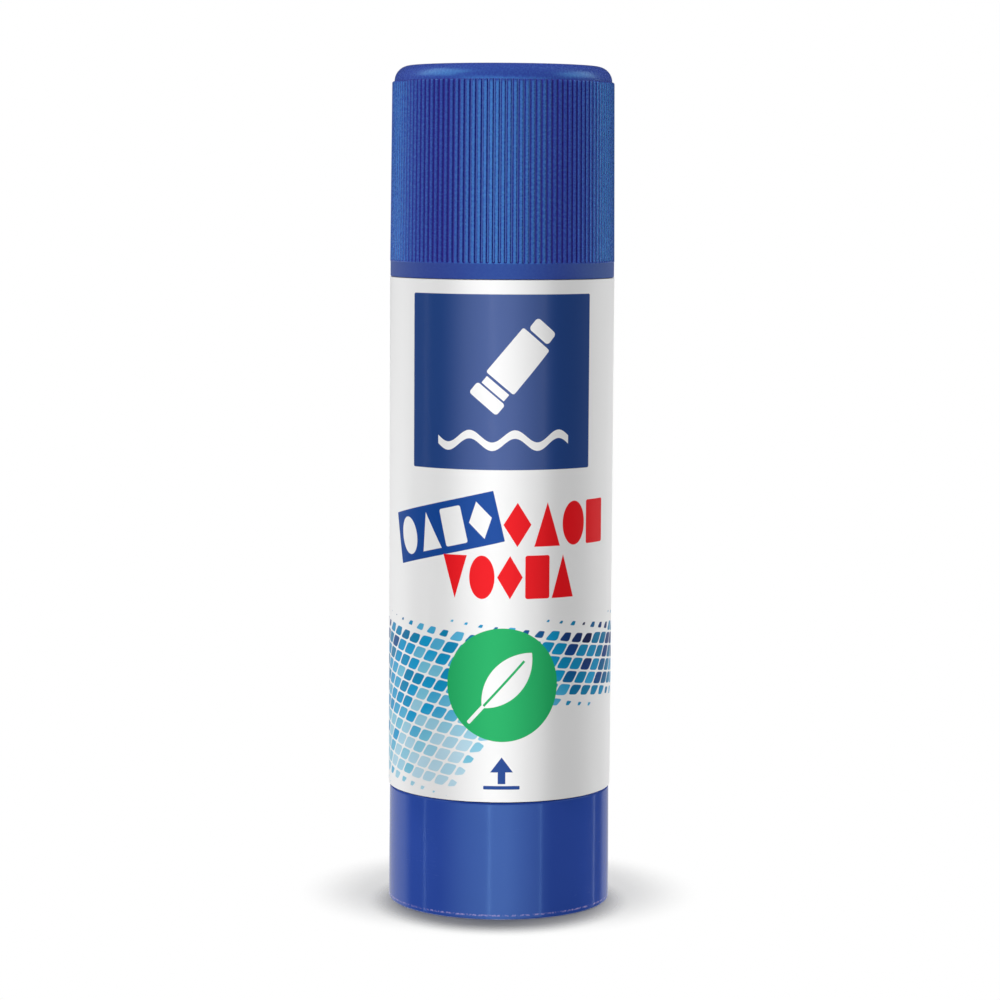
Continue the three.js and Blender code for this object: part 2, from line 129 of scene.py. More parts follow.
# Carries an outline round the axis. shape(angle, radius, height) may move each point,
# for ribs, keys, hexagons and threads. A point on the axis becomes one vertex.
def turnedPiece(name, path, angles, closed=False, shape=plainRound, sharpFrom=32):
    vertices = []
    rings = []
    for radius, height in path:
        start = len(vertices)
        if radius < 1e-6:
            vertices.append((0, 0, height * mm))
        else:
            vertices += [spotAt(angle, *shape(angle, radius, height)) for angle in angles]
        rings.append(list(range(start, len(vertices))))
    faces = []
    pairs = list(zip(rings, rings[1:]))
    if closed:
        pairs.append((rings[-1], rings[0]))
    for lower, upper in pairs:
        for step in range(len(angles)):
            after = (step + 1) % len(angles)
            corners = [lower[step % len(lower)], lower[after % len(lower)]]
            corners += [upper[after % len(upper)], upper[step % len(upper)]]
            faces.append(list(dict.fromkeys(corners)))
    mesh = bpy.data.meshes.new(name)
    mesh.from_pydata(vertices, [], faces)
    return finishedPiece(name, mesh, sharpFrom)


def addObject(name, data):
    thing = bpy.data.objects.new(name, data)
    bpy.context.scene.collection.objects.link(thing)
    return thing


# Faces outward, smooth shading with crisp edges, and a place in the scene
def finishedPiece(name, mesh, sharpFrom=32):
    work = bmesh.new()
    work.from_mesh(mesh)
    bmesh.ops.recalc_face_normals(work, faces=work.faces)
    work.to_mesh(mesh)
    work.free()
    mesh.shade_smooth()
    mesh.set_sharp_from_angle(angle=math.radians(sharpFrom))
    return addObject(name, mesh)


def smoothStep(value):
    value = min(max(value, 0), 1)
    return value * value * (3 - 2 * value)


# Stores a value on each point, worked out from its radius and height in millimetres, for the material
def markPoints(piece, name, valueAt):
    layer = piece.data.attributes.new(name, "FLOAT", "POINT")
    for vertex in piece.data.vertices:
        x, y, z = vertex.co
        layer.data[vertex.index].value = valueAt(math.hypot(x, y) / mm, z / mm)


# Gives a piece its material, hangs it under its body's empty and hides the CAD node it stands in for
def seat(piece, body, node, material):
    piece.data.materials.append(material)
    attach(piece, body)
    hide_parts(node)
    print("made", piece.name, len(piece.data.polygons), "faces")


# Node tools. Those that are given a socket work in the tree that it belongs to.

def fill(socket, value):
    if isinstance(value, bpy.types.NodeSocket):
        socket.id_data.links.new(value, socket)
    else:
        socket.default_value = value


def fillAll(node, values):
    for socket, value in dict(values).items():
        fill(node.inputs[socket], value)


def addNode(tree, kind, values=(), **settings):
    node = tree.nodes.new(kind)
    for setting, value in settings.items():
        setattr(node, setting, value)
    fillAll(node, values)
    return node


def treeOf(values):
    return next(value.id_data for value in values if isinstance(value, bpy.types.NodeSocket))


def calc(operation, *values, clamp=False):
    tree = treeOf(values)
    node = addNode(tree, "ShaderNodeMath", enumerate(values), operation=operation, use_clamp=clamp)
    return node.outputs[0]


plus, minus, times, divide = [partial(calc, word) for word in ("ADD", "SUBTRACT", "MULTIPLY", "DIVIDE")]
most, least, unsigned = [partial(calc, word) for word in ("MAXIMUM", "MINIMUM", "ABSOLUTE")]
timesPlus = partial(calc, "MULTIPLY_ADD")        # the first two multiplied, plus the third


def vectorCalc(operation, *values):
    node = addNode(treeOf(values), "ShaderNodeVectorMath", enumerate(values), operation=operation)
    return node.outputs["Value" if operation in ("LENGTH", "DISTANCE") else "Vector"]


def remap(value, fromLow, fromHigh, toLow=0.0, toHigh=1.0, smooth=False):
    values = (value, fromLow, fromHigh, toLow, toHigh)
    blend = "SMOOTHSTEP" if smooth else "LINEAR"
    node = addNode(value.id_data, "ShaderNodeMapRange", enumerate(values), interpolation_type=blend)
    return node.outputs[0]


def mixColour(amount, first, second):
    values = {0: amount, 6: first, 7: second}
    return addNode(amount.id_data, "ShaderNodeMix", values, data_type="RGBA").outputs[2]


def noiseAt(place, scale, detail=2.0, roughness=0.5):
    values = {"Vector": place, "Scale": scale, "Detail": detail, "Roughness": roughness}
    return addNode(place.id_data, "ShaderNodeTexNoise", values).outputs[0]


# The colour for a value from 0 to 1. stops lists (value, colour).
def rampColour(value, stops):
    ramp = addNode(value.id_data, "ShaderNodeValToRGB", {0: value})
    marks = ramp.color_ramp.elements
    for mark, (place, colour) in zip(marks, (stops[0], stops[-1])):
        mark.position, mark.color = place, colour
    for place, colour in stops[1:-1]:
        marks.new(place).color = colour
    return ramp.outputs[0]


# An empty node group. inputs gives each input's starting value, with None for a place.
def startGroup(name, inputs, outputs):
    tree = bpy.data.node_groups.new(name, "ShaderNodeTree")
    for socketName, value in inputs.items():
        kind = "NodeSocketVector" if value is None else "NodeSocketFloat"
        socket = tree.interface.new_socket(socketName, in_out="INPUT", socket_type=kind)
        if value is not None:
            socket.default_value = value
    for socketName in outputs:
        kind = "NodeSocketColor" if socketName == "Colour" else "NodeSocketFloat"
        tree.interface.new_socket(socketName, in_out="OUTPUT", socket_type=kind)
    entry = tree.nodes.new("NodeGroupInput")
    leave = tree.nodes.new("NodeGroupOutput")
    return tree, entry.outputs, leave.inputs


def useGroup(group, values):
    return addNode(treeOf(values.values()), "ShaderNodeGroup", node_tree=group, values=values).outputs


# A colour as it is seen on a screen, 0 to 255, in the renderer's own scale
def seen(red, green, blue):
    def linear(level):
        level = level / 255
        return level / 12.92 if level <= 0.04045 else ((level + 0.055) / 1.055) ** 2.4
    return (linear(red), linear(green), linear(blue), 1.0)


# Moulded plastic skin: fine grain, slow swells in the surface and slight changes of tone.
# Place is in metres, Grain Size and Swell Size are in millimetres.
def makeMouldSkin():
    inputs = {"Place": None, "Grain Size": 0.35, "Grain Depth": 1.0, "Swell Size": 9.0, "Swell Depth": 1.0}
    tree, given, out = startGroup("mouldSkin", inputs, ["Height", "Gloss Change", "Tone"])
    place = given["Place"]
    swellScale = divide(1000.0, given["Swell Size"])
    grain = noiseAt(place, divide(1000.0, given["Grain Size"]), detail=3.0, roughness=0.6)
    swell = noiseAt(place, swellScale, detail=1.0)
    tone = noiseAt(place, times(swellScale, 0.6))
    fill(out["Height"], plus(times(grain, given["Grain Depth"]), times(swell, given["Swell Depth"])))
    fill(out["Gloss Change"], minus(grain, 0.5))
    fill(out["Tone"], remap(tone, 0.35, 0.65))
    return tree


# Handling marks: short fine scratches that run mostly round the stick, and pale broken patches along a
# marked edge: rubbed plastic, and on the knob's foot a painted highlight of the parting ridge
def makeMarksAndGlint():
    inputs = {"Place": None, "Edge": 0.0, "Amount": 0.3}
    tree, given, out = startGroup("marksAndGlint", inputs, ["Scratches", "Wear And Glint"])
    place, amount = given["Place"], given["Amount"]
    lines = noiseAt(vectorCalc("MULTIPLY", place, (60.0, 60.0, 1400.0)), 9.0, roughness=0.7)
    patches = remap(noiseAt(place, 130.0), 0.52, 0.68, smooth=True)
    fill(out["Scratches"], times(times(remap(lines, 0.63, 0.70), patches), amount, clamp=True))
    broken = remap(noiseAt(place, 2600.0, detail=3.0, roughness=0.7), 0.42, 0.62, smooth=True)
    fill(out["Wear And Glint"], times(times(given["Edge"], broken), amount, clamp=True))
    return tree


mouldSkin = makeMouldSkin()
marksAndGlint = makeMarksAndGlint()


def newMaterial(name):
    material = bpy.data.materials.new(name)
    material.use_nodes = True
    tree = material.node_tree
    return material, tree, tree.nodes["Principled BSDF"]


def objectPlace(tree):
    return addNode(tree, "ShaderNodeTexCoord").outputs["Object"]


def skinOf(place, look):
    return useGroup(mouldSkin, {
        "Place": place, "Grain Size": look.grainSize, "Grain Depth": look.grainDepth,
        "Swell Size": look.swellSize, "Swell Depth": look.swellDepth})


# Gives a shader its colour, roughness, bumps and fixed values. A bump is at most distance metres high.
def dress(shader, colour, roughness, height, strength, distance, fixed):
    values = {"Height": height, "Strength": strength, "Distance": distance}
    normal = addNode(shader.id_data, "ShaderNodeBump", values).outputs["Normal"]
    fillAll(shader, {"Base Color": colour, "Roughness": roughness, "Normal": normal, **fixed})


# What the plastics share. Each look below says where its own plastic differs.
plasticLook = {
    "grainSize": 0.3, "grainDepth": 0.1, "swellSize": 7, "swellDepth": 1.0, "wear": 0.3,
    "roughness": 0.3, "glossChange": 0.1, "bumpStrength": 0.1, "bumpDistance": 0.0002,
}
# On the knob the pale rubbed colour also paints the highlight of the parting ridge round the foot
knobLook = {
    "colour": seen(45, 76, 165), "secondColour": seen(49, 80, 171), "rubbedColour": seen(176, 160, 214),
    "grainDepth": 0.12, "wear": 0.8, "roughness": 0.12, "glossChange": 0.12,
    "fixed": {"Specular Tint": (0.32, 0.62, 1.0, 1.0), "Specular IOR Level": 0.5},
}
capLook = {
    "colour": seen(54, 74, 170), "secondColour": seen(57, 78, 174), "rubbedColour": seen(104, 150, 212),
    # the groove colour is painted shade: darker, more purple blue towards the roots of the ribs
    "grooveShadeColour": seen(64, 46, 150), "dullColour": seen(50, 58, 149),
    "grainSize": 0.22, "grainDepth": 0.04, "swellSize": 9, "swellDepth": 0.2, "wear": 0.04,
    "roughness": 0.27, "glossChange": 0.03, "bumpStrength": 0.06,
    "fixed": {"Specular Tint": (0.12, 0.76, 1.0, 1.0), "Specular IOR Level": 0.86},
}
sleeveLook = {
    "colour": seen(238, 239, 238), "secondColour": seen(230, 232, 232), "rubbedColour": seen(214, 214, 212),
    "grainDepth": 0.2, "swellSize": 8, "swellDepth": 0.8, "roughness": 0.24, "glossChange": 0.15,
    "fixed": {"Subsurface Weight": 0.1, "Subsurface Radius": (0.002, 0.002, 0.002)},
}
tubeLook = {
    "colour": seen(238, 240, 240), "secondColour": seen(230, 234, 235), "rubbedColour": seen(244, 245, 245),
    "grainDepth": 0.08, "swellSize": 6, "glossChange": 0.08, "bumpStrength": 0.06,
    "fixed": {"Transmission Weight": 0.1, "IOR": 1.45,
              "Subsurface Weight": 0.5, "Subsurface Radius": (0.003, 0.003, 0.003)},
}
sealLook = {
    "colour": seen(236, 236, 230), "secondColour": seen(226, 227, 222), "rubbedColour": seen(205, 205, 200),
    "grainSize": 0.25, "grainDepth": 0.7, "swellSize": 5, "swellDepth": 0.6,
    "roughness": 0.45, "glossChange": 0.2, "bumpStrength": 0.15,
    "fixed": {"Subsurface Weight": 0.2, "Subsurface Radius": (0.002, 0.002, 0.002)},
}


# One recipe for the stick's moulded plastics. A piece may carry values on its points: an edge mark where it
# gets rubbed paler (on the knob's foot also a painted highlight), a groove mark where it is sunk and painted
# darker and more purple as shade, and dull where its skin is darker and rougher.
def mouldedPlastic(name, ownLook):
    look = SimpleNamespace(**{**plasticLook, **ownLook})
    material, tree, shader = newMaterial(name)
    place = objectPlace(tree)
    skin = skinOf(place, look)
    edge, grooveShade, dull = [addNode(tree, "ShaderNodeAttribute", attribute_name=word).outputs["Fac"]
                          for word in ("edgeWearAndGlint", "grooveShade", "dull")]
    marks = useGroup(marksAndGlint, {"Place": place, "Edge": edge, "Amount": look.wear})
    colour = mixColour(skin["Tone"], look.colour, look.secondColour)
    # painted shade in the grooves of the ribs
    colour = mixColour(grooveShade, colour, ownLook.get("grooveShadeColour", look.colour))
    colour = mixColour(dull, colour, ownLook.get("dullColour", look.colour))
    # pale rubbed patches; on the knob's foot these also paint the parting ridge's highlight
    colour = mixColour(marks["Wear And Glint"], colour, look.rubbedColour)
    gloss = timesPlus(skin["Gloss Change"], look.glossChange, look.roughness)
    gloss = timesPlus(dull, 0.3, gloss)
    gloss = timesPlus(marks["Scratches"], 0.3, gloss)
    gloss = timesPlus(marks["Wear And Glint"], 0.2, gloss, clamp=True)
    height = minus(skin["Height"], times(marks["Scratches"], 0.6))
    dress(shader, colour, gloss, height, look.bumpStrength, look.bumpDistance, look.fixed)
    return material


knobPlastic = mouldedPlastic("knobPlastic", knobLook)
capPlastic = mouldedPlastic("capPlastic", capLook)
sleevePlastic = mouldedPlastic("sleevePlastic", sleeveLook)
tubePlastic = mouldedPlastic("tubePlastic", tubeLook)
sealRubber = mouldedPlastic("sealRubber", sealLook)
print("plastics ready")


glueLook = {
    "colour": seen(60, 106, 198), "secondColour": seen(68, 115, 204), "dragStretch": (1500.0, 1500.0, 40.0),
    "grainSize": 0.5, "grainDepth": 0.5, "swellSize": 4.0, "swellDepth": 1.2,
    "roughness": 0.34, "dragGloss": 0.2, "dragDepth": 0.7, "bumpStrength": 0.25, "bumpDistance": 0.0003,
    "fixed": {"Subsurface Weight": 0.35, "Subsurface Radius": (0.0008, 0.0014, 0.003),
              "Coat Weight": 0.15, "Coat Roughness": 0.2},
}


# The glue paste: waxy, a little translucent, with faint drag lines along the stick
def gluePaste():
    look = SimpleNamespace(**glueLook)
    material, tree, shader = newMaterial("gluePaste")
    place = objectPlace(tree)
    skin = skinOf(place, look)
    drag = noiseAt(vectorCalc("MULTIPLY", place, look.dragStretch), 1.0, detail=3.0)
    colour = mixColour(skin["Tone"], look.colour, look.secondColour)
    gloss = timesPlus(drag, look.dragGloss, look.roughness)
    height = timesPlus(drag, look.dragDepth, skin["Height"])
    dress(shader, colour, gloss, height, look.bumpStrength, look.bumpDistance, look.fixed)
    return material


# A point's place along axes that are turned by an angle in degrees
def onTurnedAxes(right, above, degrees):
    lean = times(degrees, math.pi / 180)
    cosine, sine = calc("COSINE", lean), calc("SINE", lean)
    return timesPlus(right, cosine, times(above, sine)), minus(times(above, cosine), times(right, sine))


inkEdge = 0.05        # how softly the ink ends


# A printed shape, as a group whose mask is 1 in the shape. Places and sizes are in millimetres on the
# flat label, Across round the stick and Up along it. outside(spot, half, given) says how far a spot,
# seen from the shape's centre with its tilt taken out, lies outside the shape with these half sizes.
# ownInputs are inputs that only this shape has, with their starting values.
def makePrint(name, outside, **ownInputs):
    inputs = {"Across": 0.0, "Up": 0.0, "Centre Across": 0.0, "Centre Up": 0.0,
              "Half Width": 1.0, "Half Height": 1.0, "Tilt": 0.0, **ownInputs}
    tree, given, out = startGroup(name, inputs, ["Mask"])
    right = minus(given["Across"], given["Centre Across"])
    above = minus(given["Up"], given["Centre Up"])
    spot = onTurnedAxes(right, above, given["Tilt"])
    distance = outside(spot, (given["Half Width"], given["Half Height"]), given)
    fill(out["Mask"], timesPlus(distance, -1 / inkEdge, 0.5, clamp=True))
    return tree


def squareRoot(*values):
    return calc("SQRT", plus(*values))


def outsideBox(spot, half, given):
    gaps = [plus(minus(unsigned(here), reach), given["Corner"]) for here, reach in zip(spot, half)]
    beyond = [most(gap, 0.0) for gap in gaps]
    away = squareRoot(*[times(gap, gap) for gap in beyond])
    return minus(plus(away, least(most(*gaps), 0.0)), given["Corner"])


def outsideOval(spot, half, given):
    shares = [divide(here, reach) for here, reach in zip(spot, half)]
    away = minus(squareRoot(*[times(share, share) for share in shares]), 1.0)
    return times(away, least(*half))


def outsideDiamond(spot, half, given):
    shares = [divide(unsigned(here), reach) for here, reach in zip(spot, half)]
    return times(minus(plus(*shares), 1.0), least(*half))


# A triangle that points up
def outsideWedge(spot, half, given):
    fromTip = divide(minus(half[1], spot[1]), times(half[1], 2.0))
    side = minus(unsigned(spot[0]), times(half[0], fromTip))
    return most(side, minus(unsigned(spot[1]), half[1]))


# A leaf with both ends pointed: the overlap of two discs
def outsideLeaf(spot, half, given):
    x, y = spot
    disc = divide(plus(*[times(reach, reach) for reach in half]), times(half[0], 2.0))
    offset = plus(unsigned(x), minus(disc, half[0]))
    return minus(calc("SQRT", timesPlus(offset, offset, times(y, y))), disc)


# A wavy stroke: Half Width is half its length, Half Height half its thickness
def outsideWave(spot, half, given):
    phase = divide(times(spot[0], fullTurn), given["Wavelength"])
    wave = times(calc("SINE", phase), given["Swing"])
    side = minus(unsigned(minus(spot[1], wave)), half[1])
    return most(side, minus(unsigned(spot[0]), half[0]))


lozengeBlues = [
    (0.0, seen(190, 224, 240)), (0.3, seen(122, 200, 226)), (0.5, seen(20, 162, 216)),
    (0.68, seen(8, 130, 176)), (0.86, seen(22, 72, 142)), (1.0, seen(20, 28, 76)),
]


# A slanted lattice of diamonds with thin gaps. Band shrinks them away, Shade picks their blue.
def makeLozengeField():
    inputs = {"Across": 0.0, "Up": 0.0, "Slant": 24.0, "Length": 3.4, "Height": 2.1,
              "Band": 1.0, "Shade": 0.5}
    tree, given, out = startGroup("lozengeField", inputs, ["Mask", "Colour"])
    forward, sideways = onTurnedAxes(given["Across"], given["Up"], given["Slant"])
    along, over = divide(forward, given["Length"]), divide(sideways, given["Height"])
    ways = plus(along, over), minus(along, over)
    floors = [calc("FLOOR", way) for way in ways]
    cell = addNode(tree, "ShaderNodeCombineXYZ", enumerate(floors)).outputs[0]
    chance = addNode(tree, "ShaderNodeTexWhiteNoise", {"Vector": cell}, noise_dimensions="2D").outputs[0]
    offs = [unsigned(minus(calc("FRACT", way), 0.5)) for way in ways]
    bulge = plus(*[calc("POWER", off, 5.0) for off in offs])
    size = timesPlus(chance, -0.25, times(given["Band"], 1.25))
    gap = minus(remap(size, 0.0, 1.0, 0.0, 0.455), calc("POWER", bulge, 0.2))
    fill(out["Mask"], times(gap, 26.0, clamp=True))
    fill(out["Colour"], rampColour(timesPlus(chance, 0.4, minus(given["Shade"], 0.2)), lozengeBlues))
    return tree


prints = {
    "box": makePrint("boxPrint", outsideBox, Corner=0.0),
    "oval": makePrint("ovalPrint", outsideOval),
    "diamond": makePrint("diamondPrint", outsideDiamond),
    "wedge": makePrint("wedgePrint", outsideWedge),
    "leaf": makePrint("leafPrint", outsideLeaf),
    "wave": makePrint("wavePrint", outsideWave, Swing=0.6, Wavelength=5.0),
}
lozengeField = makeLozengeField()

labelLook = {
    "film": 0.12, "seam": 0.4, "overEnds": 0.07, "columns": 300, "rows": 24,
    "paper": seen(249, 249, 249), "navy": seen(34, 70, 137), "boxBlue": seen(22, 74, 156),
    "red": seen(242, 22, 32), "green": seen(36, 178, 104), "white": seen(250, 250, 250),
    "markBlue": seen(38, 74, 146), "barGrey": seen(60, 62, 70),
    "latticeLeft": 15.5, "latticeRight": 27.0, "latticeBack": 31.5, "latticeTop": 40.5,
    "roughness": 0.3, "wobbleGloss": 0.08, "panelGloss": 0.5, "bumpStrength": 0.1, "bumpDistance": 0.0002,
    "fixed": {"Specular IOR Level": 0.12, "Metallic": 0.13, "Coat Roughness": 0.2},
}


# One shape of the print: its kind and the values for its group
def inkShape(kind, centre, half, tilt=0, **extra):
    return kind, {"Centre Across": centre[0], "Centre Up": centre[1],
                  "Half Width": half[0], "Half Height": half[1], "Tilt": tilt, **extra}


# A row of shapes along a line that may be tilted
def shapeRow(kinds, middle, step, half, tilt=0):
    lean = math.radians(tilt)
    row = []
    for index, kind in enumerate(kinds):
        along = step * (index - (len(kinds) - 1) / 2)
        spot = (middle[0] + along * math.cos(lean), middle[1] + along * math.sin(lean))
        turned = tilt + 180 if kind == "wedgeDown" else tilt
        extra = {"Corner": 0.3} if kind == "box" else {}
        row.append(inkShape(kind.removesuffix("Down"), spot, half, turned, **extra))
    return row


# A small picture of a glue stick along a tilted axis: glue, barrel, collar and knob.
# Each part is (along the axis, half width, half length, corner).
def stickPicture(middle, tilt):
    lean = math.radians(tilt)
    shapes = []
    for along, *half, corner in [(6.1, 1.7, 0.95, 0.5), (1.05, 2.35, 3.75, 0.3), (-3.6, 1.9, 0.55, 0.1),
                                 (-5.3, 2.35, 0.9, 0.4)]:
        spot = (middle[0] - along * math.sin(lean), middle[1] + along * math.cos(lean))
        shapes.append(inkShape("box", spot, half, tilt, Corner=corner))
    return shapes


# The print: layers of ink from the paper up, each with its shapes
def labelLayers():
    line = inkShape("wave", (0.3, 63.4), (9.0, 0.55), Swing=0.8, Wavelength=6.0)
    box, boxTilt = (-8.3, 51.65), 13.3
    upperRow = shapeRow(("diamond", "wedge", "oval", "box"), (8.35, 52.4), 4.1, (1.85, 2.9))
    lowerRow = shapeRow(("wedgeDown", "oval", "diamond", "box", "wedge"), (1.25, 45.5), 3.7, (1.68, 2.85))
    discAcross, discUp = 0.35, 31.3
    leafTilt = -42
    leaf = inkShape("leaf", (discAcross + 0.6, discUp + 0.6), (2.3, 4.9), leafTilt)
    stalk = inkShape("box", (discAcross - 3.5, discUp - 3.9), (0.25, 1.6), leafTilt, Corner=0.2)
    # at the back: two tiles with plain signs on each side of the seam, and a row of upright bars
    signs = [(-43.5, "wedge", (1.2, 1.2), 0), (-38.1, "diamond", (1.1, 1.5), 0),
             (38.1, "leaf", (0.8, 1.6), -30), (43.5, "oval", (1.1, 1.1), 0)]
    bars = [(0, 0.2), (0.8, 0.1), (1.5, 0.3), (2.5, 0.15), (3.3, 0.25), (4.2, 0.1), (4.9, 0.35),
            (6.0, 0.1), (6.7, 0.2), (7.5, 0.1), (8.3, 0.3), (9.2, 0.15), (9.9, 0.2)]
    return [
        ("navy", [inkShape("box", (0, 70.95), (13.05, 11.4), Corner=0.25)]),
        ("white", [*stickPicture((1.5, 72.9), -40), line]),
        ("white", [inkShape("box", box, (8.65, 3.75), boxTilt, Corner=0.2)]),
        ("boxBlue", [inkShape("box", box, (8.3, 3.4), boxTilt, Corner=0.1)]),
        ("white", shapeRow(("oval", "wedge", "box", "diamond"), box, 3.85, (1.55, 2.5), boxTilt)),
        ("red", upperRow + lowerRow),
        ("green", [inkShape("oval", (discAcross, discUp), (7.5, 7.5))]),
        ("white", [leaf, stalk]),
        ("green", [inkShape("box", (discAcross + 0.2, discUp + 0.2), (0.16, 4.0), leafTilt)]),
        ("markBlue", [inkShape("wedge", (0.3, 20.75), (1.5, 1.0)), inkShape("box", (0.3, 19.1), (0.5, 0.9)),
                      inkShape("box", (0.3, 17.7), (2.4, 0.24), Corner=0.1)]),
        ("navy", [inkShape("box", (sign[0], 70), (2.3, 2.3), Corner=0.5) for sign in signs]),
        ("white", [inkShape(kind, (across, 70), half, tilt) for across, kind, half, tilt in signs]),
        ("barGrey", [inkShape("box", (31 + across, 51), (width, 4.0)) for across, width in bars]),
    ]


# The lattice's colour over the paper: from the foot of the label on the left, higher on the right
# and at the back
def latticeColour(across, up):
    look = SimpleNamespace(**labelLook)
    low = remap(across, -7.0, 3.0, look.latticeLeft, look.latticeRight)
    toBack = remap(unsigned(across), 24.0, 44.0, smooth=True)
    low = timesPlus(toBack, minus(look.latticeBack, low), low)
    fadeLow = remap(minus(up, low), 0.0, 3.5)
    band = times(remap(up, look.latticeTop, look.latticeTop - 4.0), fadeLow)
    swing = calc("SINE", times(minus(across, 3.0), 0.15))
    shade = timesPlus(swing, 0.14, remap(up, 17.0, 36.0, 0.16, 0.66))
    field = useGroup(lozengeField, {"Across": across, "Up": up, "Band": band, "Shade": shade})
    return mixColour(field["Mask"], look.paper, field["Colour"])


def labelFilm():
    look = labelLook
    material, tree, shader = newMaterial("labelFilm")
    plan = addNode(tree, "ShaderNodeUVMap", uv_map="labelPlan").outputs[0]
    across, up = addNode(tree, "ShaderNodeSeparateXYZ", {0: plan}).outputs[:2]
    colour = latticeColour(across, up)
    varnish = 0.0        # the navy panels are varnished, their white shapes aren't
    for ink, shapes in labelLayers():
        layer = None
        for kind, values in shapes:
            mask = useGroup(prints[kind], {"Across": across, "Up": up, **values})["Mask"]
            layer = mask if layer is None else most(layer, mask)
        colour = mixColour(layer, colour, look[ink])
        if ink == "navy":
            varnish = most(varnish, layer)
        elif ink == "white":
            varnish = minus(varnish, layer, clamp=True)
    fill(shader.inputs["Coat Weight"], times(varnish, look["panelGloss"]))

    place = objectPlace(tree)
    wobble = noiseAt(place, 90.0)
    gloss = timesPlus(wobble, look["wobbleGloss"], look["roughness"])
    height = timesPlus(noiseAt(place, 2500.0), 0.12, wobble)
    dress(shader, colour, gloss, height, look["bumpStrength"], look["bumpDistance"], look["fixed"])
    return material


# The label is wrapped from seam to seam, with its flat plan in millimetres as its UV map
def makeLabel():
    look = SimpleNamespace(**labelLook)
    size = cad["label"]
    outer, inner = size.radius, size.radius - look.film
    halfSeam = look.seam / 2 / outer
    low, high = size.bottom - look.overEnds, size.top + look.overEnds
    heights = [low + (high - low) * row / look.rows for row in range(look.rows + 1)]
    loop = [(outer, height) for height in heights] + [(inner, height) for height in reversed(heights)]
    vertices = []
    plan = []
    for column in range(look.columns + 1):
        swing = -math.pi + halfSeam + (fullTurn - 2 * halfSeam) * column / look.columns
        vertices += [spotAt(frontAngle + swing, radius, height) for radius, height in loop]
        plan += [(swing * outer, height) for radius, height in loop]
    around = len(loop)
    faces = []
    for start in range(0, look.columns * around, around):
        for row in range(around):
            here, above = start + row, start + (row + 1) % around
            faces.append((here, here + around, above + around, above))
    faces.append(tuple(range(around)))
    faces.append(tuple(reversed(range(len(vertices) - around, len(vertices)))))
    mesh = bpy.data.meshes.new("printed_label")
    mesh.from_pydata(vertices, [], faces)
    layer = mesh.uv_layers.new(name="labelPlan")
    for corner in mesh.loops:
        layer.data[corner.index].uv = plan[corner.vertex_index]
    label = finishedPiece("printed_label", mesh)
    seat(label, "barrel", "label", labelFilm())


# Turning knob at the foot: a cup with a foot ring, a hexagon boss and six floor ribs.
# The pale line round the foot is partly worn plastic and partly a painted highlight of the parting ridge: it
# is full between its two middle heights and fades to the outer ones.
knobShape = {
    "draft": 0.1, "footRound": 0.28, "rimRound": 0.3, "rimRise": 0.08, "footWidth": 2.1, "footRecess": 0.8,
    "wornLine": (0.46, 0.53, 0.66, 0.74),
    "floorTop": 2.4, "bore": 13.69, "bossRadius": 4.98, "bossTop": 14.05, "flats": 4.84,
    "beadReach": 0.45, "beadHalf": 0.55, "beadMiddle": 10.275, "ribHeight": 2.0, "ribCount": 6,
    "ribHalfAngle": 3, "ribSideAngle": 1.5, "gateRadius": 2.3, "gateDepth": 0.3, "pipRadius": 0.55,
    "segments": 144,
}


def makeKnob():
    part = SimpleNamespace(**knobShape)
    foot = cad["base_knob"].radius
    top = cad["base_knob"].top + part.rimRise
    ringInner = foot - part.footRound - part.footWidth
    recess = part.footRecess
    gate = recess + part.gateDepth
    bore, floor = part.bore, part.floorTop
    bead = bore - part.beadReach
    low, high = part.beadMiddle - part.beadHalf, part.beadMiddle + part.beadHalf
    hexRadius = part.flats / 2
    outline = [
        (0, recess - 0.15, 0), (part.pipRadius, recess - 0.15, 0.08), (part.pipRadius, gate, 0.05),
        (part.gateRadius, gate, 0.2), (part.gateRadius + 0.2, recess, 0.15), (ringInner - 0.4, recess, 0.4),
        (ringInner, 0, 0.25), (foot, 0, part.footRound), *[(foot, height, 0) for height in part.wornLine],
        (foot - part.draft, top, part.rimRound), (bore, top, 0.3), (bore, high + 0.3, 0.15),
        (bead, high - 0.2, 0.25), (bead, low + 0.2, 0.25), (bore, low - 0.3, 0.15), (bore, floor, 0.4),
        (part.bossRadius, floor, 0.3), (part.bossRadius, part.bossTop, 0.3),
        (hexRadius, part.bossTop, 0.15), (hexRadius, floor, 0), (0, floor, 0),
    ]

    def shape(angle, radius, height):
        inHollow = height >= floor - 0.01
        if inHollow and radius < hexRadius + 0.2:
            radius = hexReach(angle, radius)
        elif inHollow and height < floor + 0.6 and radius < bore + 0.01:
            offRib = math.degrees(offNearest(angle, fullTurn / part.ribCount)) - part.ribHalfAngle
            height += part.ribHeight * (1 - smoothStep(offRib / part.ribSideAngle))
        return radius, height

    knob = turnedPiece("turning_knob", softCorners(outline, steps=5), evenAngles(part.segments), shape=shape)
    lineLow, lineHigh = part.wornLine[1:3]
    # the pale line round the foot: worn plastic with the parting ridge's highlight painted in
    markPoints(knob, "edgeWearAndGlint", lambda radius, height: (
        radius > foot - 0.05 and lineLow - 0.01 < height < lineHigh + 0.01))
    seat(knob, "knob", "base_knob", knobPlastic)


# Outer sleeve that carries the label
sleeveShape = {
    "bore": 13.83, "lipHeight": 1.4, "lipRadius": 13.54,
    "grooveHalf": 0.5, "grooveDepth": 0.25, "grooveMiddle": 1.0, "segments": 144,
}


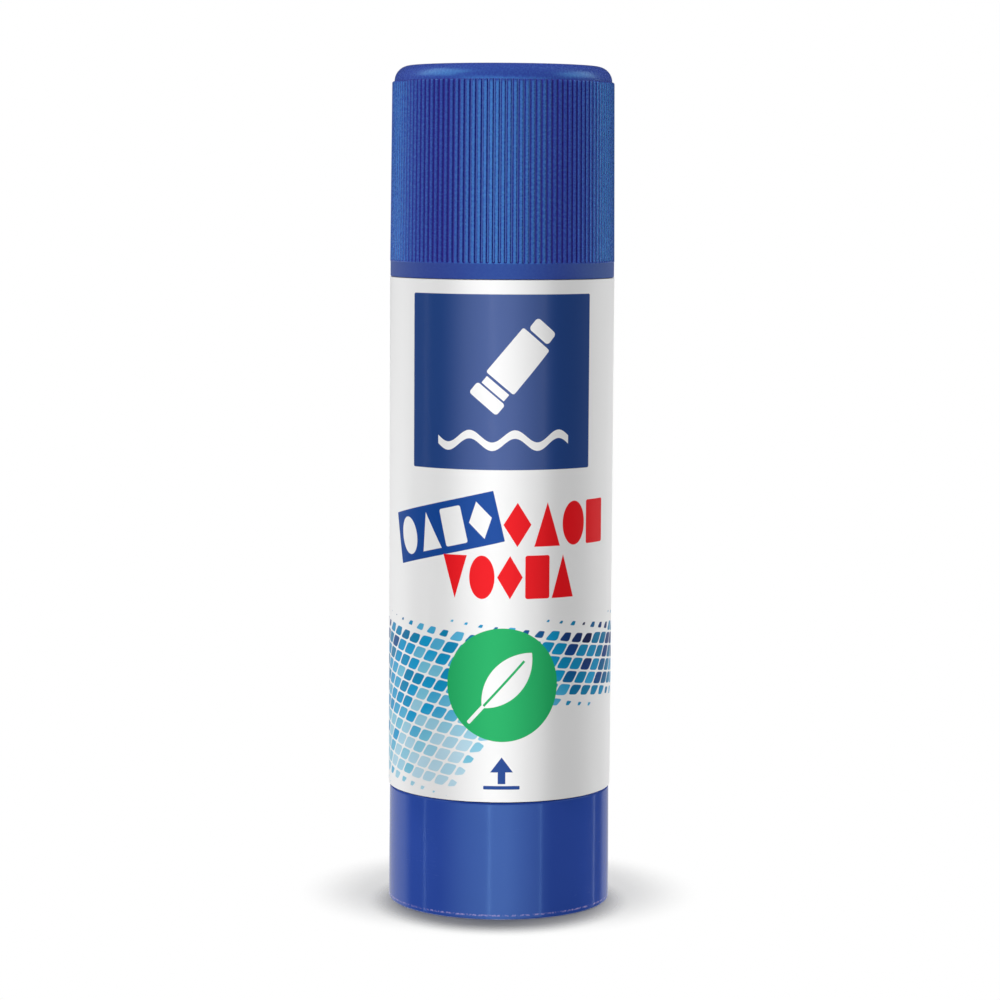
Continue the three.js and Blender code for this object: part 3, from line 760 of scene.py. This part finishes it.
def makeSleeve():
    part = SimpleNamespace(**sleeveShape)
    size = cad["outer_sleeve"]
    outer, low, high = size.radius, size.bottom, size.top
    bore = part.bore
    middle = low + part.grooveMiddle
    lipLow = high - part.lipHeight
    outline = [
        (bore, low, 0.2), (outer, low, 0.2), (outer, high, 0.2), (part.lipRadius, high, 0.15),
        (part.lipRadius, lipLow, 0.1), (bore, lipLow - 0.3, 0.15), (bore, middle + part.grooveHalf, 0.1),
        (bore + part.grooveDepth, middle, 0.3), (bore, middle - part.grooveHalf, 0.1),
    ]
    path = softCorners(outline, closed=True)
    sleeve = turnedPiece("barrel_sleeve", path, evenAngles(part.segments), closed=True)
    seat(sleeve, "barrel", "outer_sleeve", sleevePlastic)


# Glue tube: neck with its bead, collar, skirt with the snap groove, floor with the bearing hole, four keys
tubeShape = {
    "radius": 13.39, "bore": 12.34, "bearing": 3.25, "floorBottom": 15.55, "floorTop": 16.75,
    "grooveRadius": 12.94, "grooveHalf": 0.95, "grooveMiddle": 10.275, "collarRadius": 13.68,
    "collarBottom": 15.75, "collarTop": 17.75, "collarBead": 13.93, "neckBeadDrop": 6.0,
    "neckBead": 13.49, "keyRadius": 11.74, "keyHalfWidth": 0.5, "keyTop": 99.25, "mouthRound": 0.4,
    "segments": 120,
}


def makeTube():
    part = SimpleNamespace(**tubeShape)
    outer, bore, collar, groove = part.radius, part.bore, part.collarRadius, part.grooveRadius
    low, high = cad["inner_tube"].bottom, cad["inner_tube"].top
    grooveLow, grooveHigh = part.grooveMiddle - part.grooveHalf, part.grooveMiddle + part.grooveHalf
    bead = high - part.neckBeadDrop
    collarMiddle = (part.collarBottom + part.collarTop) / 2
    outline = [
        (part.bearing, part.floorBottom, 0.15), (bore, part.floorBottom, 0.3), (bore, low, 0.2),
        (outer, low, 0.3), (outer, grooveLow, 0.1), (groove, grooveLow, 0.15), (groove, grooveHigh, 0.15),
        (outer, grooveHigh, 0.1), (outer, part.collarBottom, 0.05), (collar, part.collarBottom, 0.1),
        (collar, collarMiddle - 0.35, 0.1), (part.collarBead, collarMiddle, 0.3),
        (collar, collarMiddle + 0.35, 0.1), (collar, part.collarTop, 0.2),
        (outer, part.collarTop + 0.02, 0.1), (outer, bead - 0.75, 0.6), (part.neckBead, bead, 0.9),
        (outer, bead + 0.75, 0.6),
        (outer, high, part.mouthRound), (bore, high, part.mouthRound), (bore, part.keyTop + 0.3, 0),
        (bore, part.keyTop, 0), (bore, part.floorTop, 0.2), (part.bearing, part.floorTop, 0.15),
    ]
    halfKey = math.asin(part.keyHalfWidth / bore)

    def shape(angle, radius, height):
        onWall = abs(radius - bore) < 0.02 and part.floorTop + 0.1 < height <= part.keyTop
        if onWall and offNearest(angle, math.pi / 2) < halfKey + 1e-6:
            radius = part.keyRadius
        return radius, height

    path = softCorners(outline, closed=True)
    angles = keyedAngles(part.segments, halfKey, (1, 1.25))
    tube = turnedPiece("glue_tube", path, angles, closed=True, shape=shape)
    seat(tube, "barrel", "inner_tube", tubePlastic)


# Left-hand screw with its hexagon foot, snap barb, bearing journal and flange
spindleShape = {
    "hexFlats": 4.6, "barbRadius": 3.45, "barbLow": 14.35, "barbHigh": 15.45, "journal": 3.0,
    "flange": 6.0, "flangeLow": 17.75, "flangeHigh": 18.95, "crest": 3.2, "root": 2.35, "pitch": 4.0,
    "crestShare": 0.22, "flankShare": 0.18, "threadStart": 19.25, "threadTaper": 1.2, "rowStep": 0.2,
    "segments": 48,
}


def makeSpindle():
    part = SimpleNamespace(**spindleShape)
    bottom, top = cad["spindle"].bottom, cad["spindle"].top
    hexRadius = part.hexFlats / 2
    path = softCorners([
        (0, bottom, 0), (hexRadius, bottom, 0.2), (hexRadius, part.barbLow, 0),
        (part.barbRadius, part.barbHigh - 0.3, 0.1), (part.barbRadius, part.barbHigh, 0.05),
        (part.journal, part.barbHigh, 0.1), (part.journal, part.flangeLow, 0.1),
        (part.flange, part.flangeLow, 0.2), (part.flange, part.flangeHigh, 0.2),
        (part.crest, part.flangeHigh + 0.01, 0),
    ])
    rows = int((top - part.flangeHigh - 0.4) / part.rowStep)
    path += [Vector((part.crest, part.flangeHigh + 0.2 + part.rowStep * row)) for row in range(rows)]
    path += [Vector((part.root, top)), Vector((0, top))]

    def shape(angle, radius, height):
        if height < part.barbLow + 0.05 and radius < hexRadius + 0.1:
            radius = hexReach(angle, radius)
        elif height > part.flangeHigh + 0.1 and radius > part.root + 0.01:
            turns = (height - part.threadStart) / part.pitch + angle / fullTurn
            offCrest = offNearest(turns, 1) - part.crestShare / 2
            depth = (part.crest - part.root) * smoothStep(offCrest / part.flankShare)
            taper = min(1, (top - height) / part.threadTaper)
            radius = part.root + (radius - depth - part.root) * taper
        return radius, height

    spindle = turnedPiece("feed_screw", path, evenAngles(part.segments), shape=shape, sharpFrom=50)
    seat(spindle, "knob", "spindle", tubePlastic)


# Washer under the spindle's flange
washerShape = {"inner": 3.25, "edgeRound": 0.2, "segments": 96}


def makeWasher():
    part = SimpleNamespace(**washerShape)
    size = cad["spindle_seal"]
    inner, outer, low, high = part.inner, size.radius, size.bottom, size.top
    corners = [(inner, low), (outer, low), (outer, high), (inner, high)]
    path = softCorners([(*corner, part.edgeRound) for corner in corners], closed=True)
    washer = turnedPiece("screw_washer", path, evenAngles(part.segments), closed=True)
    seat(washer, "knob", "spindle_seal", sealRubber)


# The glue: a cast bar with a slightly dished top, a blind bore for the screw and four key channels
glueShape = {
    "foot": 10.5, "shoulder": 27.5, "topRound": 0.9, "dish": 0.25, "bore": 3.55, "boreTop": 101.0,
    "channelRoot": 11.49, "channelHalfWidth": 0.75, "channelTop": 99.55, "segments": 120,
}


def makeGlue():
    part = SimpleNamespace(**glueShape)
    size = cad["glue"]
    outer, low, high = size.radius, size.bottom, size.top
    outline = [
        (part.bore, low, 0.1), (part.foot, low, 0.2), (part.foot, part.shoulder, 0.1),
        (outer, part.shoulder, 0.3), (outer, part.channelTop, 0), (outer, part.channelTop + 0.25, 0),
        (outer, high, part.topRound), (outer - 2.4, high - part.dish * 0.6, 2.0),
        (4.0, high - part.dish, 3.0), (0, high - part.dish, 0),
    ]
    path = [Vector((0, part.boreTop)), Vector((part.bore, part.boreTop)), *softCorners(outline, steps=6)]
    halfChannel = math.asin(part.channelHalfWidth / outer)

    def shape(angle, radius, height):
        inChannel = offNearest(angle, math.pi / 2) < halfChannel + 1e-6
        if inChannel and height <= part.channelTop + 0.01 and radius > part.channelRoot:
            radius = part.channelRoot
        return radius, height

    angles = keyedAngles(part.segments, halfChannel, (1, 1.2, 1.3))
    glue = turnedPiece("glue_bar", path, angles, shape=shape)
    seat(glue, "feed", "glue", gluePaste())


# Soft plug in the roof of the cap
sealShape = {"flangeLow": 108.4, "plugOuter": 12.04, "plugInner": 10.64, "segments": 120}


def makeCapSeal():
    part = SimpleNamespace(**sealShape)
    size = cad["cap_seal"]
    outline = [
        (0, part.flangeLow, 0), (part.plugInner, part.flangeLow, 0.5),
        (part.plugInner + 0.1, size.bottom, 0.35), (part.plugOuter - 0.1, size.bottom, 0.5),
        (part.plugOuter, part.flangeLow, 0.3), (size.radius, part.flangeLow, 0.3),
        (size.radius, size.top, 0.3), (0, size.top, 0),
    ]
    seal = turnedPiece("cap_plug", softCorners(outline), evenAngles(part.segments))
    seat(seal, "cap", "cap_seal", sealRubber)


# Push-on cap with 120 fine ribs between a plain band and a round shoulder
capShape = {
    "band": 14.95, "bandHeight": 1.9, "ribCount": 120, "ribTop": 110.0, "crestDraft": 0.21,
    "rimDrop": 0.15, "ribDepth": 0.32, "crestShare": 0.42, "rootShare": 0.22, "endRound": 0.2,
    "shoulder": 14.48, "shoulderRound": 2.05, "bore": 13.59, "roof": 110.3,
    "sealBead": 13.34, "sealBeadHeight": 109.3, "bottomRound": 0.12,
}


def makeCap():
    part = SimpleNamespace(**capShape)
    size = cad["cap_shell"]
    low, top, crest = size.bottom - part.rimDrop, size.top, size.radius
    bandTop = size.bottom + part.bandHeight
    bore, ribTop, endRound, beadHeight = part.bore, part.ribTop, part.endRound, part.sealBeadHeight
    pitchAngle = fullTurn / part.ribCount
    flank = (1 - part.crestShare - part.rootShare) / 2        # a flank's share of the pitch

    # angles over one rib: few on the crest, close together on the flanks
    halfRib = [0.0, part.crestShare * 0.3] + [part.crestShare / 2 + flank * step / 3 for step in range(4)]
    shares = halfRib + [0.5] + [1 - share for share in reversed(halfRib[1:])]
    angles = [pitchAngle * (rib + share) for rib in range(part.ribCount) for share in shares]

    def crestAt(height):
        return crest - part.crestDraft * (height - bandTop) / (ribTop - bandTop)

    # how deep the groove is at this angle and height, from 0 on the crest to 1 in the root
    def groove(angle, height):
        sideways = (0.5 - offNearest(angle / pitchAngle, 1)) * pitchAngle * crest
        reach = (part.rootShare / 2 + flank) * pitchAngle * crest
        off = math.hypot(sideways, max(0, reach - (height - bandTop)))
        return smoothStep((reach - off) / (flank * pitchAngle * crest))

    def shape(angle, radius, height):
        if bandTop - 0.001 < height < ribTop + 0.001 and radius > part.shoulder + 0.02:
            depth = groove(angle, height)
            root = crestAt(height) - part.ribDepth
            radius = min(radius, radius * (1 - depth) + root * depth)
        return radius, height

    # how far a point lies below the ribs' crests, from 0 to 1
    def hollowAt(radius, height):
        inRibs = bandTop - 0.001 < height < ribTop
        return smoothStep((crestAt(height) - radius) / part.ribDepth) if inRibs else 0

    path = softCorners([
        (0, part.roof, 0), (bore - 0.5, part.roof, 0.3), (bore, part.roof - 0.5, 0.2),
        (bore, beadHeight + 0.4, 0.1), (part.sealBead, beadHeight, 0.2), (bore, beadHeight - 0.4, 0.1),
        (bore, low + 0.4, 0.2), (bore + 0.35, low, 0.15), (part.band, low, part.bottomRound),
        (part.band, bandTop - 0.06, 0),
    ], steps=2)
    rows = [bandTop + step for step in (0.0, 0.04, 0.08, 0.12, 0.17, 0.22, 0.28, 0.35, 0.45, 0.7)]
    rows += [(bandTop + ribTop) / 2, ribTop - endRound - 0.3]
    path += [Vector((crestAt(height), height)) for height in rows]
    for swing in (0.0, 0.4, 0.8, 1.2, math.pi / 2):
        path.append(Vector((crestAt(ribTop) - endRound * (1 - math.cos(swing)),
                            ribTop - endRound * (1 - math.sin(swing)))))
    path += softCorners([(part.shoulder, ribTop, 0), (part.shoulder, top, part.shoulderRound), (0, top, 0)],
                        steps=12)
    cap = turnedPiece("ribbed_cap", path, angles, shape=shape, sharpFrom=40)
    # painted shade: the deeper a point lies in a groove, the more it takes the darker groove colour
    markPoints(cap, "grooveShade", hollowAt)
    markPoints(cap, "edgeWearAndGlint", lambda radius, height: 1 - hollowAt(radius, height))
    markPoints(cap, "dull", lambda radius, height: height < bandTop - 0.05)
    seat(cap, "cap", "cap_shell", capPlastic)


pieceMakers = [makeKnob, makeSleeve, makeTube, makeSpindle, makeWasher, makeLabel,
               makeGlue, makeCapSeal, makeCap]
for makePiece in pieceMakers:
    makePiece()

# The carrier keeps its own solid, with the tube's plastic
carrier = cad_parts["carrier"]
carrier.data.materials.clear()
carrier.data.materials.append(tubePlastic)
print("pieces made")


# Camera at the photograph's place: a long lens from just under the cap's height, looking slightly down
cameraSetup = {
    "lens": 111.06, "sensor": 36.0, "place": (-0.000118, -0.41394, 0.09601), "down": 5.774, "roll": 0.351,
}


def addCamera():
    data = bpy.data.cameras.new("camera")
    data.lens = cameraSetup["lens"]
    data.sensor_width = cameraSetup["sensor"]
    data.clip_start, data.clip_end = 0.01, 50
    down, roll = math.radians(cameraSetup["down"]), math.radians(cameraSetup["roll"])
    ahead = Vector((0, math.cos(down), -math.sin(down)))
    level = Vector((1, 0, 0))
    upright = level.cross(ahead)
    side = level * math.cos(roll) + upright * math.sin(roll)
    up = upright * math.cos(roll) - level * math.sin(roll)
    turned = Matrix((side, up, -ahead)).transposed().to_4x4()
    camera = addObject("camera", data)
    camera.matrix_world = Matrix.Translation(cameraSetup["place"]) @ turned
    bpy.context.scene.camera = camera


# Soft boxes: (name, azimuth, height, width, length, radiance). Azimuth 0 is in front of the label,
# positive to the right, in degrees; the rest is in metres. Radiance is how bright the box's face looks,
# 1 being white. The key box gives light without being mirrored, the others are only mirrored.
softBoxes = [
    ("keyBox", -27, 0.17, 0.36, 0.36, 4.3),
    ("leftTopBox", -82, 0.6, 0.66, 0.52, 2.3),
    ("rightTopBox", 92, 0.42, 0.56, 0.32, 1.7),
    ("frontStripe", -9.5, -0.02, 0.012, 0.5, 4.5),
    ("rightStripe", 43.5, -0.02, 0.014, 0.5, 3.0),
    ("leftStripe", -82.5, -0.02, 0.012, 0.5, 3.5),
    ("farStripe", 117, -0.02, 0.016, 0.5, 2.1),
]
boxDistance = 0.6
aimHeight = 0.08        # boxes higher than this look down at the middle of the stick


def addLights():
    for name, azimuth, height, width, length, radiance in softBoxes:
        data = bpy.data.lights.new(name, "AREA")
        data.shape = "RECTANGLE"
        data.size, data.size_y = width, length
        data.energy = radiance * math.pi * width * length
        lamp = addObject(name, data)
        swing = math.radians(azimuth)
        lamp.location = (math.sin(swing) * boxDistance, -math.cos(swing) * boxDistance, height)
        aim = Vector((0, 0, min(height, aimHeight))) - lamp.location
        lamp.rotation_euler = aim.to_track_quat("-Z", "Y").to_euler()
        lamp.visible_camera = False
        lamp.visible_glossy = name != "keyBox"
        lamp.visible_diffuse = name == "keyBox"


# Pale table under the stick: its grey is a painted shadow that also keeps the shadow the stick casts, and it
# fades into the white background. The painted shadow is full close to the foot and in front of it, and faint
# further out. From below the table is clear.
table = {
    "radius": 50, "below": -0.02, "colour": (0.3, 0.3, 0.3, 1),
    "nearMiddle": (0, -0.003, 0), "nearStretch": (1.0, 0.87, 1.0), "near": (0.0122, 0.0182),
    "farMiddle": (0, 0.003, 0), "far": (0.0165, 0.028), "farShare": 0.6,
}


def addTable():
    mesh = bpy.data.meshes.new("pale_table")
    rim = [spotAt(angle, table["radius"], table["below"]) for angle in evenAngles(64)]
    mesh.from_pydata(rim, [], [tuple(range(64))])
    material = bpy.data.materials.new("paleTable")
    material.use_nodes = True
    tree = material.node_tree
    tree.nodes.clear()
    lit = addNode(tree, "ShaderNodeBsdfDiffuse", {"Color": table["colour"]}).outputs[0]
    clear = addNode(tree, "ShaderNodeBsdfTransparent").outputs[0]
    place = objectPlace(tree)
    # painted shadow: grey in full near the foot, pushed to the front, and partly shown further out
    near = vectorCalc("MULTIPLY", vectorCalc("SUBTRACT", place, table["nearMiddle"]), table["nearStretch"])
    near = remap(vectorCalc("LENGTH", near), *table["near"], smooth=True)
    far = vectorCalc("DISTANCE", place, table["farMiddle"])
    far = remap(far, *table["far"], table["farShare"], 1.0, smooth=True)
    below = addNode(tree, "ShaderNodeNewGeometry").outputs["Backfacing"]
    fade = most(times(near, far), below)
    shown = addNode(tree, "ShaderNodeMixShader", {0: fade, 1: lit, 2: clear}).outputs[0]
    addNode(tree, "ShaderNodeOutputMaterial", {"Surface": shown})
    mesh.materials.append(material)
    pale = addObject("pale_table", mesh)
    pale.visible_glossy = pale.visible_diffuse = pale.visible_shadow = False


# The room. It is plain white where it is seen or looked through. In the plastics it is mirrored as
# a white wall behind the stick and a soft glow in front, dark between them. As light it is brightest
# from both sides, just behind the stick. Both walls list (azimuth, radiance).
room = {
    "skyLight": 0.5, "skyFrom": (20, 55), "backFrom": (96, 116), "backTop": (-3.2, -1.4), "backHigh": 0.06,
    "glowTop": (5, 16), "glowHigh": 0.04, "brightest": 4.0,
    "lightWall": [(-144, 0.2), (-136, 2.25), (-114, 2.25), (-108, 0.275),
                  (108, 0.275), (114, 3.5), (136, 3.5), (144, 0.2)],
    "mirrorWall": [(-180, 1.6), (-168, 0.6), (-150, 0.7), (-116, 0.8), (-104, 0.02), (-64, 0.02),
                   (-54, 0.5), (-40, 1.5), (-27, 2.2), (-14, 2.7), (-9, 3.3), (8, 3.2), (23, 2.2),
                   (36, 1.5), (43, 1.2), (46, 0.5), (56, 0.02), (132, 0.02), (142, 0.55), (168, 0.5),
                   (180, 1.6)],
}


# A wall's radiance at an azimuth in degrees
def wallAt(azimuth, wall):
    stops = [((angle + 180) / 360, [level / room["brightest"]] * 3 + [1]) for angle, level in wall]
    return times(rampColour(remap(azimuth, -180.0, 180.0), stops), room["brightest"])


def addSurroundings():
    world = bpy.data.worlds.new("whiteRoom")
    world.use_nodes = True
    bpy.context.scene.world = world
    tree = world.node_tree
    way = addNode(tree, "ShaderNodeTexCoord").outputs["Generated"]
    x, y, z = addNode(tree, "ShaderNodeSeparateXYZ", {0: way}).outputs
    azimuth = times(calc("ARCTAN2", x, times(y, -1.0)), 180 / math.pi)
    height = times(calc("ARCSINE", z), 180 / math.pi)

    glow = wallAt(azimuth, room["mirrorWall"])
    behind = remap(unsigned(azimuth), *room["backFrom"], smooth=True)
    low = remap(height, *room["glowTop"], 1.0, room["glowHigh"], smooth=True)
    backWall = times(behind, remap(height, *room["backTop"], 1.0, room["backHigh"]))
    mirrored = times(glow, timesPlus(low, minus(1.0, behind), backWall))
    sky = remap(height, *room["skyFrom"], 0.0, room["skyLight"])
    spread = plus(wallAt(azimuth, room["lightWall"]), sky)

    rays = addNode(tree, "ShaderNodeLightPath").outputs
    strength = timesPlus(minus(mirrored, spread), rays["Is Glossy Ray"], spread)
    looked = plus(rays["Is Camera Ray"], rays["Is Transmission Ray"], clamp=True)
    white = times(minus(1.0, strength), looked)
    fillAll(tree.nodes["Background"], {"Color": (1, 1, 1, 1), "Strength": plus(strength, white)})


addCamera()
addLights()
addTable()
addSurroundings()
bpy.context.scene.view_settings.view_transform = "Standard"
print("camera and lights ready")
